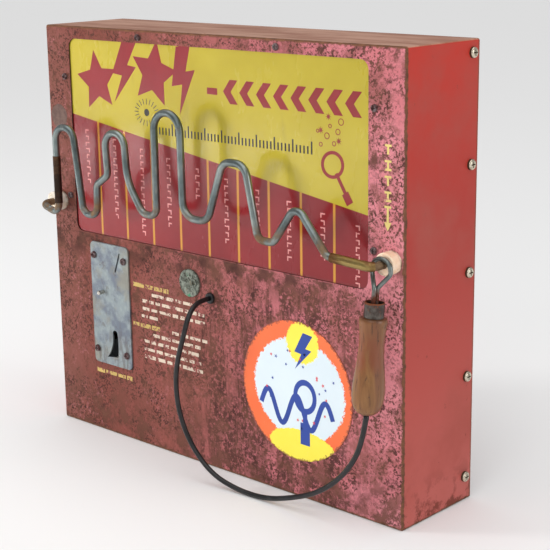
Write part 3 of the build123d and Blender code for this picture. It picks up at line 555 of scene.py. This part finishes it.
def turned_wood():
    """Varnished beech, grained along the grip, with dents, a scorched waist, grimy ends and painted shade on
    its left side.
    """
    f = Finish("turned_wood", 0.45, Coat_Weight=0.15, Coat_Roughness=0.3)
    x, _, z = f.axes()
    middle = (GRIP_LOW + GRIP_HIGH) / 2
    grain = f.noise(120, 8, 0.62, f.stretched(1.0, 1.0, 0.045), 1.2)
    broad = f.noise(30, 4, 0.6, f.stretched(1.0, 1.0, 0.25), 0.6)
    tone = f.ramp(grain, (0.30, rgb(96, 58, 26)), (0.5, rgb(130, 86, 42)), (0.72, rgb(152, 108, 58)))
    tone = f.mix(f.band(broad, 0.45, 0.68), tone, rgb(118, 68, 34))
    # painted shade: the grip's left side is greyed towards olive
    left = f.band(x, middle.x - 0.001, middle.x - 0.015)
    tone = f.mix(f.math("MULTIPLY", left, 0.6), tone, rgb(116, 98, 58))
    over, under = f.band(z, middle.z - 0.014, middle.z + 0.004), f.band(z, middle.z + 0.038, middle.z + 0.018)
    waist = product(f, over, under)
    tone = f.mix(f.math("MULTIPLY", waist, f.band(broad, 0.42, 0.6)), tone, rgb(122, 62, 28))
    pores = f.band(f.noise(300, 4, 0.6, f.stretched(1.0, 1.0, 0.1)), 0.60, 0.68)
    dents = f.band(f.noise(95, 5, 0.7), 0.66, 0.70)
    marks = union(f, f.math("MULTIPLY", pores, 0.7), dents)
    bottom = f.band(z, GRIP_LOW.z + 0.006, GRIP_LOW.z)
    ends = union(f, bottom, f.band(z, GRIP_HIGH.z - 0.013, GRIP_HIGH.z - 0.009))
    color = f.mix(marks, tone, rgb(70, 42, 24))
    color = f.mix(f.math("MULTIPLY", ends, 0.7), color, rgb(74, 46, 30))
    f.color(color).rough(marks, 0.36, 0.75)
    return f.bump(f.math("SUBTRACT", grain, marks), 0.00025, 0.5).material


def ferrule_steel():
    """Dark steel outside, rust and copper inside."""
    f = Finish("ferrule_steel", 0.4, 0.8)
    z = f.axes()[2]
    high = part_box("handle_ferrule")[1]
    rim = f.band(f.math("ADD", z, f.math("MULTIPLY", f.noise(300), 0.002)), high.z - 0.0015, high.z - 0.0002)
    tone = f.mix(f.band(f.noise(130, 6, 0.65), 0.35, 0.65), rgb(104, 98, 92), rgb(70, 60, 56))
    rust = union(f, rim, f.band(f.noise(200, 6, 0.7), 0.58, 0.66))
    f.color(f.mix(rust, tone, rgb(140, 84, 58))).rough(rust, 0.36, 0.75)
    return f.bump(f.noise(420, 4), 0.00012, 0.6).material


def wire_steel():
    """The ring's wire: blue-grey skin, rusty at the shank."""
    f = Finish("wire_steel", 0.36, 0.85)
    z = f.axes()[2]
    skin = f.ramp(f.noise(110, 6, 0.6), (0.3, rgb(86, 94, 92)), (0.7, rgb(136, 142, 138)))
    shank = f.band(z, 0.256, 0.246)
    rust = product(f, shank, f.band(f.noise(160, 5), 0.3, 0.55))
    rust = union(f, rust, f.band(f.noise(240, 6, 0.7), 0.62, 0.68))
    f.color(f.mix(rust, skin, rgb(112, 62, 46))).rough(rust, 0.32, 0.7)
    return f.bump(f.noise(500, 4), 0.0001, 0.5).material


def cable_rubber():
    f = Finish("cable_rubber", 0.38, Specular_IOR_Level=0.45)
    dust = f.band(f.noise(120, 6, 0.6), 0.45, 0.75)
    f.color(f.mix(dust, rgb(24, 24, 26), rgb(46, 45, 46))).rough(dust, 0.32, 0.6)
    return f.bump(f.noise(260, 4), 0.0001, 0.4).material


def badge_print():
    """Ragged orange ring, pale field, yellow glow and ground."""
    f = Finish("badge_print", 0.3, Coat_Weight=0.2, Coat_Roughness=0.15)
    x, _, z = f.axes()
    centre = (BADGE_LOW + BADGE_HIGH) / 2
    radius = (BADGE_HIGH.x - BADGE_LOW.x) / 2
    rag = f.math("MULTIPLY", f.math("SUBTRACT", f.noise(240, 6, 0.8), 0.5), 0.016)

    def far_from(px, pz, squash=1.0):
        dx = f.math("SUBTRACT", x, px)
        dz = f.math("MULTIPLY", f.math("SUBTRACT", z, pz), squash)
        square = f.math("ADD", f.math("MULTIPLY", dx, dx), f.math("MULTIPLY", dz, dz))
        return f.math("ADD", f.math("SQRT", square), rag)

    field = f.band(far_from(centre.x + 0.0035, centre.z + 0.002, 1.12), 0.0630, 0.0624)
    glow = f.band(far_from(centre.x + 0.009, centre.z + 0.0535), 0.0222, 0.0216)
    ground = f.band(far_from(centre.x + 0.008, centre.z - 0.060, 2.5), 0.0465, 0.0459)
    orange = f.mix(f.noise(20), rgb(232, 92, 40), rgb(240, 116, 58))
    pale = f.mix(f.noise(16), rgb(206, 220, 228), rgb(220, 232, 238))
    yellow = f.mix(f.noise(30), rgb(238, 218, 52), rgb(246, 230, 80))
    color = f.mix(field, orange, pale)
    color = f.mix(union(f, glow, ground), color, yellow)
    # painted shade: a dark ring along the badge's rim
    edge = f.band(far_from(centre.x, centre.z), radius - 0.0022, radius - 0.0008)
    color = f.mix(f.math("MULTIPLY", edge, 0.8), color, rgb(120, 62, 44))
    scratches = f.band(f.noise(320, 5, 0.75), 0.67, 0.71)
    color = f.mix(f.math("MULTIPLY", scratches, 0.6), color, rgb(150, 120, 110))
    return f.color(color).rough(scratches, 0.25, 0.6).material


def moulded(name, color, roughness=0.5, coat=0.0):
    f = Finish(name, roughness, Coat_Weight=coat)
    tone = f.mix(f.noise(60, 4), color, dimmed(color, 0.82))
    return f.color(tone).bump(f.noise(600, 3), 0.00008, 0.4).material


def lamp_glass():
    f = Finish("lamp_glass", 0.15, Transmission_Weight=0.3)
    f.color(f.mix(f.noise(40), rgb(232, 234, 238), rgb(214, 218, 224)))
    return f.material


def assign_finishes():
    """Every CAD node gets its finish."""
    zinc = plated("zinc_hardware", rgb(168, 168, 164), rgb(120, 96, 74), 0.35, 0.6)
    sheet = plated("zinc_sheet", rgb(158, 162, 164), rgb(118, 104, 92), 0.45, 0.6, 40)
    white = moulded("white_moulding", rgb(214, 210, 196), 0.45)
    black = moulded("black_moulding", rgb(28, 28, 28), 0.5)
    tape = moulded("coil_tape", rgb(168, 112, 44), 0.35, 0.3)
    rubber = cable_rubber()
    rust_screw = rusty_screw()
    nickel = nickel_screw()
    grey = plain_paint("grey_enamel", rgb(120, 122, 122), rgb(98, 100, 100))
    lock_metal = lock_face()
    finishes = {
        "cabinet_shell": cabinet_paint(),
        "rear_cover": plain_paint("rear_enamel", rgb(142, 62, 52), rgb(116, 52, 46)),
        "display_panel": display_print(),
        "wire_track": worn_bar(),
        "start_sleeve": brass("bright_brass", rgb(158, 136, 84), rgb(112, 76, 48), 0.48, 0.30),
        "finish_sleeve": brass("dark_brass", rgb(96, 70, 52), rgb(58, 46, 40), 0.5, 0.45),
        "track_terminals": brass("tag_brass", rgb(190, 160, 96), rgb(134, 104, 60), 0.6, 0.3),
        "insulator_start": insulator_plastic("cream_nylon", rgb(250, 226, 200), rgb(238, 200, 168)),
        "insulator_finish": insulator_plastic("white_nylon", rgb(232, 226, 214), rgb(210, 194, 170)),
        "inner_insulators": white,
        "handle_loop": wire_steel(),
        "handle_ferrule": ferrule_steel(),
        "handle_grip": turned_wood(),
        "handle_cable": rubber,
        "cable_grommet": rubber,
        "coin_plate": coin_plate_zinc(),
        "coin_release_button": button_metal(),
        "coin_switch": black,
        "coin_switch_lever": zinc,
        "cash_box": grey,
        "lock_body": lock_metal,
        "lock_plug": lock_metal,
        "badge": badge_print(),
        "lamp_tube": lamp_glass(),
        "lamp_caps": plated("lamp_cap_metal", rgb(190, 190, 192), rgb(150, 146, 140), 0.3, 0.65),
        "lamp_holders": white,
        "lamp_batten": plain_paint("white_enamel", rgb(206, 204, 194), rgb(184, 180, 168)),
        "lamp_ballast": grey,
        "lamp_starter": white,
        "transformer_core": plated("core_iron", rgb(86, 84, 84), rgb(70, 56, 50), 0.5, 0.5, 120),
        "transformer_coil": tape,
        "bell_coils": tape,
        "control_board": moulded("resin_board", rgb(150, 106, 60), 0.4),
        "timer_relay": moulded("relay_cover", rgb(176, 182, 180), 0.2, 0.4),
        "terminal_block": white,
        "bell_gong": plated("gong_plate", rgb(190, 190, 186), rgb(150, 136, 116), 0.18, 0.62),
        "mains_gland": black,
        "gland_nut": black,
        "side_screws_left": nickel,
        "side_screws_right": nickel,
        "window_screws": rust_screw,
        "coin_plate_screws": rust_screw,
    }
    sheets = ("panel_clamps", "panel_ledge", "coin_chute", "coin_return_cup", "reject_gate")
    sheets += ("lock_strap", "chassis_plate", "bell_bracket")
    for name in sheets:
        finishes[name] = sheet
    for name, node in NODES.items():
        material = finishes.get(name, zinc)
        node.data.materials.clear()
        node.data.materials.append(material)


# ---------------------------------------------------------------- printed marks, in millimetres
SHORTEST_WORD = 4
PATCH_X, PATCH_Z, PATCH_RADIUS = -245, 375, 14


def bar(x, z, wide, high, turn=0.0):
    """A rectangle about its middle, turned by an angle."""
    corners = ((-1, -1), (1, -1), (1, 1), (-1, 1))
    return [turned([(cx * wide / 2, cz * high / 2) for cx, cz in corners], x, z, turn)]


def turned(points, x, z, turn):
    c, s = cos(turn), sin(turn)
    return [(x + px * c - pz * s, z + px * s + pz * c) for px, pz in points]


def disc(x, z, radius, sides=28):
    angles = [2 * pi * i / sides for i in range(sides)]
    return [[(x + radius * cos(angle), z + radius * sin(angle)) for angle in angles]]


def ring(x, z, outer, inner, sides=36, squash=1.0, turn=0.0):
    """A flat ring as a chain of quads."""
    faces = []
    for i in range(sides):
        a, b = 2 * pi * i / sides, 2 * pi * (i + 1) / sides
        quad = [(outer * cos(a), outer * sin(a) * squash), (outer * cos(b), outer * sin(b) * squash)]
        quad += [(inner * cos(b), inner * sin(b) * squash), (inner * cos(a), inner * sin(a) * squash)]
        faces.append(turned(quad, x, z, turn))
    return faces


def star(x, z, outer, inner, points=5, turn=0.0):
    outline = []
    for i in range(2 * points):
        reach = inner if i % 2 else outer
        angle = pi / 2 + pi * i / points
        outline.append((reach * cos(angle), reach * sin(angle)))
    return [turned(outline, x, z, turn)]


def bolt(x, z, size, turn=0.0):
    """A lightning flash."""
    outline = [(-0.10, 1.0), (0.52, 1.0), (0.16, 0.24), (0.56, 0.24)]
    outline += [(-0.36, -1.0), (-0.06, -0.12), (-0.52, -0.12)]
    return [turned([(px * size, pz * size) for px, pz in outline], x, z, turn)]


def chevron(x, z, wide, high, thick, turn=0.0):
    """An arrowhead that points to -X, as the game is played."""
    outline = [(-wide / 2, 0), (wide / 2 - thick, high / 2), (wide / 2, high / 2), (-wide / 2 + thick, 0)]
    outline += [(wide / 2, -high / 2), (wide / 2 - thick, -high / 2)]
    return [turned(outline, x, z, turn)]


def ribbon(points, wide):
    """A thick line through points, as quads with mitred joints."""
    lines = [Vector(p) for p in points]
    sides = []
    for i, p in enumerate(lines):
        ahead = (lines[min(i + 1, len(lines) - 1)] - lines[max(i - 1, 0)]).normalized()
        across = Vector((-ahead.y, ahead.x)) * wide / 2
        sides.append((p + across, p - across))
    return [[tuple(a[0]), tuple(b[0]), tuple(b[1]), tuple(a[1])] for a, b in zip(sides, sides[1:])]


def printed(name, shapes, y, material, thick=0.07, step=0.01, levels=4):
    """Raised ink on the plane at y metres. Shapes that may overlap lie at slightly different heights."""
    mesh = bmesh.new()
    for i, shape in enumerate(shapes):
        lift = (thick + step * (i % levels)) * MM
        part = bmesh.new()
        for outline in shape:
            part.faces.new([part.verts.new((px * MM, y, pz * MM)) for px, pz in outline])
        bmesh.ops.remove_doubles(part, verts=part.verts, dist=1e-6)
        bmesh.ops.recalc_face_normals(part, faces=part.faces)
        raised = bmesh.ops.extrude_face_region(part, geom=part.faces[:], use_keep_orig=True)
        for vertex in raised["geom"]:
            if isinstance(vertex, bmesh.types.BMVert):
                vertex.co.y -= lift
        bmesh.ops.recalc_face_normals(part, faces=part.faces)
        flat = bpy.data.meshes.new("shape")
        part.to_mesh(flat)
        part.free()
        mesh.from_mesh(flat)
        bpy.data.meshes.remove(flat)
    made = finish_mesh(name, mesh, smooth=False)
    made.data.materials.append(material)
    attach(made, "cabinet")
    return made


def lcg(seed):
    """Repeatable values from 0 to 1."""
    state = seed
    while True:
        state = (1103515245 * state + 12345) % 2147483648
        yield state / 2147483648


def word_bars(left, right, z, high, values, gap=3.2):
    """A line of greeked words: short bars of uneven length between two ends."""
    faces = []
    x = left
    while x < right - SHORTEST_WORD:
        long = min(7 + 14 * next(values), right - x)
        faces.append(bar(x + long / 2, z, long, high * (0.8 + 0.25 * next(values))))
        x += long + gap
    return faces


def boundary_z(x):
    """Where yellow meets red, in millimetres."""
    return (SPLIT_LEFT_Z + (x * MM - DISPLAY_LEFT) * SPLIT_SLOPE) / MM


def print_display():
    red = ink("title_red", rgb(138, 26, 34), roughness=0.28)
    black = ink("tick_black", rgb(40, 34, 28), roughness=0.3)
    pink = ink("mark_pink", rgb(222, 150, 146), rgb(150, 40, 50), 0.03, 0.3)
    title = [
        star(-176, 420, 35, 17, 5, radians(8)),
        bolt(-131, 433, 36, radians(-6)),
        star(-82, 434, 37, 18, 5, radians(-10)),
        bolt(-36, 430, 36, radians(10)),
        bar(7.5, 421.5, 15, 7),
    ]
    title += [chevron(34 + 23.5 * i, 422.5, 21, 25, 11) for i in range(8)]
    printed("title_marks", title, PANEL_Y, red)

    ticks = []
    for i in range(46):
        high = 13 if i % 5 == 0 else 8
        ticks.append(bar(-80 + 5 * i, 368.5 + high / 2, 2.0, high))
    for i in range(20):
        angle = 2 * pi * i / 20
        ticks.append(bar(-95 + 16.5 * cos(angle), 391 + 12 * sin(angle), 6.5, 0.9, angle))
    ticks.append(disc(-95, 391, 4.0))
    printed("scale_ticks", ticks, PANEL_Y, black)

    middles = [-198, -151, -106, -63, -18, 25, 70, 114, 159, 204]
    counts = [9, 13, 14, 11, 5, 10, 6, 9, 7, 9]
    values = lcg(7)
    marks = []
    for x, count in zip(middles, counts):
        z = boundary_z(x) - 14
        for i in range(count):
            wide = 4.4 + 2.4 * next(values)
            side = 1 if next(values) > 0.5 else -1
            marks.append(bar(x, z, wide, 1.5))
            marks.append(bar(x + side * (wide / 2 - 0.7), z - 2.5, 1.4, 3.5))
            z -= 7.2
    printed("column_marks", marks, PANEL_Y, pink)

    icon = [
        ring(172, 361, 15, 11.2, 36, 0.92, radians(20)),
        bar(183.5, 342, 4.0, 26, radians(32)),
        bar(191, 329.5, 9, 12, radians(32)),
    ]
    bubbles = [(0, 0, 3.4), (9, -7, 2.6), (-8, -9, 2.4), (14, 5, 3.2)]
    bubbles += [(4, 10, 2.2), (18, 15, 3.6), (-12, 4, 2.0)]
    for dx, dz, size in bubbles:
        icon.append(ring(165 + dx, 389 + dz, size, size - 0.9, 16))
    for dx, dz in ((-3, 6), (20, -3), (7, 20)):
        icon.append(star(160 + dx, 388 + dz, 4.0, 1.4, 8))
    printed("loop_icon", icon, PANEL_Y, red)


def print_front():
    paint = rgb(128, 70, 66)
    cream = ink("note_cream", rgb(214, 196, 176), paint, 0.10, 0.6)
    yellow = ink("note_yellow", rgb(196, 168, 96), paint, 0.09, 0.6)
    start = ink("start_yellow", rgb(222, 200, 120), rgb(180, 104, 118), 0.05, 0.55)
    values = lcg(23)
    heads = word_bars(-127, -68, 192, 5, values, 2.2)
    heads += word_bars(-129, -84, 145, 5, values, 2.2) + word_bars(-197, -134, 75, 5, values, 2.4)
    lines = word_bars(-96, -30, 183.5, 4, values) + word_bars(-112, -8, 174.5, 4, values)
    lines += word_bars(-112, -6, 165.5, 4, values) + word_bars(-114, -82, 156.5, 4, values)
    lines += word_bars(-64, -8, 145, 4, values) + word_bars(-96, -16, 136, 4, values)
    for z in (127, 117.5, 108.5):
        lines += word_bars(-111, -16, z, 4, values)
    printed("note_headings", heads, FRONT_Y, yellow)
    printed("note_lines", lines, FRONT_Y, cream)
    marks = []
    for i, z in enumerate((383, 368, 353, 338, 324)):
        marks += [bar(242, z + 4, 8, 2.2), bar(242, z, 2.4, 9)]
        if i % 2:
            marks.append(bar(242, z - 4, 8, 2.2))
    marks += [[[(237.5, 313), (246.5, 313), (242, 304.5)]], bar(242, 316, 2.6, 8)]
    printed("start_marks", marks, FRONT_Y, start)


def print_badge():
    """A generic pictogram: a flash over a bent wire with a ring and handle on it."""
    y = BADGE_LOW.y
    centre = (BADGE_LOW + BADGE_HIGH) / 2 / MM
    cx, cz = centre.x, centre.z
    blue = ink("badge_blue", rgb(34, 66, 152), roughness=0.3)
    red = ink("badge_red", rgb(214, 62, 70), roughness=0.3)
    wave = [(cx - 50 + 100 * i / 60, cz - 22 + 17 * sin(2 * pi * i / 24)) for i in range(61)]
    shapes = [
        ribbon(wave, 6.0),
        ring(cx + 12, cz - 4, 16, 10.6, 40, 1.18),
        bar(cx + 12, cz - 28, 6.0, 15),
        bar(cx + 12, cz - 45, 13, 24),
        bolt(cx + 9, cz + 44, 21, radians(-8)),
    ]
    printed("badge_pictogram", shapes, y, blue)
    values = lcg(41)
    dots = []
    for _ in range(26):
        angle = 2 * pi * next(values)
        reach = 30 + 26 * next(values)
        size = 1.6 + next(values)
        dots.append(star(cx + reach * cos(angle), cz + 0.85 * reach * sin(angle), size, 0.8, 5, angle))
    printed("badge_stars_blue", dots[::2], y, blue)
    printed("badge_stars_red", dots[1::2], y, red)


def bare_patch():
    """The round grey-brown patch where a label came off."""
    f = Finish("bare_patch", 0.75)
    tone = f.mix(f.band(f.noise(120, 6, 0.7), 0.35, 0.65), rgb(112, 90, 82), rgb(92, 70, 64))
    f.color(tone).bump(f.noise(300, 5), 0.0001)
    outline = []
    for i in range(48):
        angle = 2 * pi * i / 48
        reach = PATCH_RADIUS + 0.35 * sin(5 * angle) + 0.25 * sin(11 * angle + 1)
        outline.append((PATCH_X + reach * cos(angle), PATCH_Z + reach * sin(angle)))
    printed("bare_patch", [[outline]], FRONT_Y, f.material)


# ---------------------------------------------------------------- cable
def make_cable():
    points = spline_points(CABLE_ROUTE)
    cable = tube_mesh("cable", points, CABLE_RADIUS)
    cable.data.materials.append(NODES["handle_cable"].data.materials[0])
    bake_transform(cable)
    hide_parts("handle_cable")


# ---------------------------------------------------------------- floor and lights
FLOOR_HALF_SIZE = 20.0
WORLD_STRENGTH = 0.36


def make_floor():
    mesh = bmesh.new()
    bmesh.ops.create_grid(mesh, x_segments=1, y_segments=1, size=FLOOR_HALF_SIZE)
    floor = finish_mesh("floor", mesh)
    material = bpy.data.materials.new("floor_white")
    material.use_nodes = True
    shader = material.node_tree.nodes["Principled BSDF"]
    shader.inputs["Base Color"].default_value = (0.9, 0.9, 0.9, 1)
    shader.inputs["Roughness"].default_value = 0.9
    floor.data.materials.append(material)


def make_light(name, kind, place, target, size, power, glossy=True):
    """An area light of a size in metres, or a sun of an angle in radians."""
    light = bpy.data.objects.new(name, bpy.data.lights.new(name, kind))
    bpy.context.scene.collection.objects.link(light)
    if kind == "SUN":
        light.data.angle = size
    else:
        light.data.size = size
    light.data.energy = power
    light.visible_glossy = glossy
    light.location = place
    light.rotation_euler = (Vector(place) - Vector(target)).to_track_quat("Z", "Y").to_euler()


def make_lights():
    middle = (0.05, 0, 0.24)
    make_light("key", "AREA", (-2.0, -1.75, 0.45), middle, 0.55, 52, glossy=False)
    make_light("fill", "AREA", (1.0, -2.3, 1.6), middle, 1.2, 10)
    make_light("side", "AREA", (2.7, 0.2, 0.9), middle, 1.2, 17)
    make_light("overhead", "SUN", (0.1, -0.3, 2.4), middle, radians(70), 1.45)
    world = bpy.data.worlds.new("studio")
    bpy.context.scene.world = world
    world.use_nodes = True
    background = world.node_tree.nodes["Background"]
    background.inputs["Color"].default_value = (1.0, 1.0, 1.0, 1)
    background.inputs["Strength"].default_value = WORLD_STRENGTH
    bpy.context.scene.view_settings.view_transform = "Standard"


make_camera()
assign_finishes()
make_cable()
print_display()
print_front()
print_badge()
bare_patch()
make_floor()
make_lights()
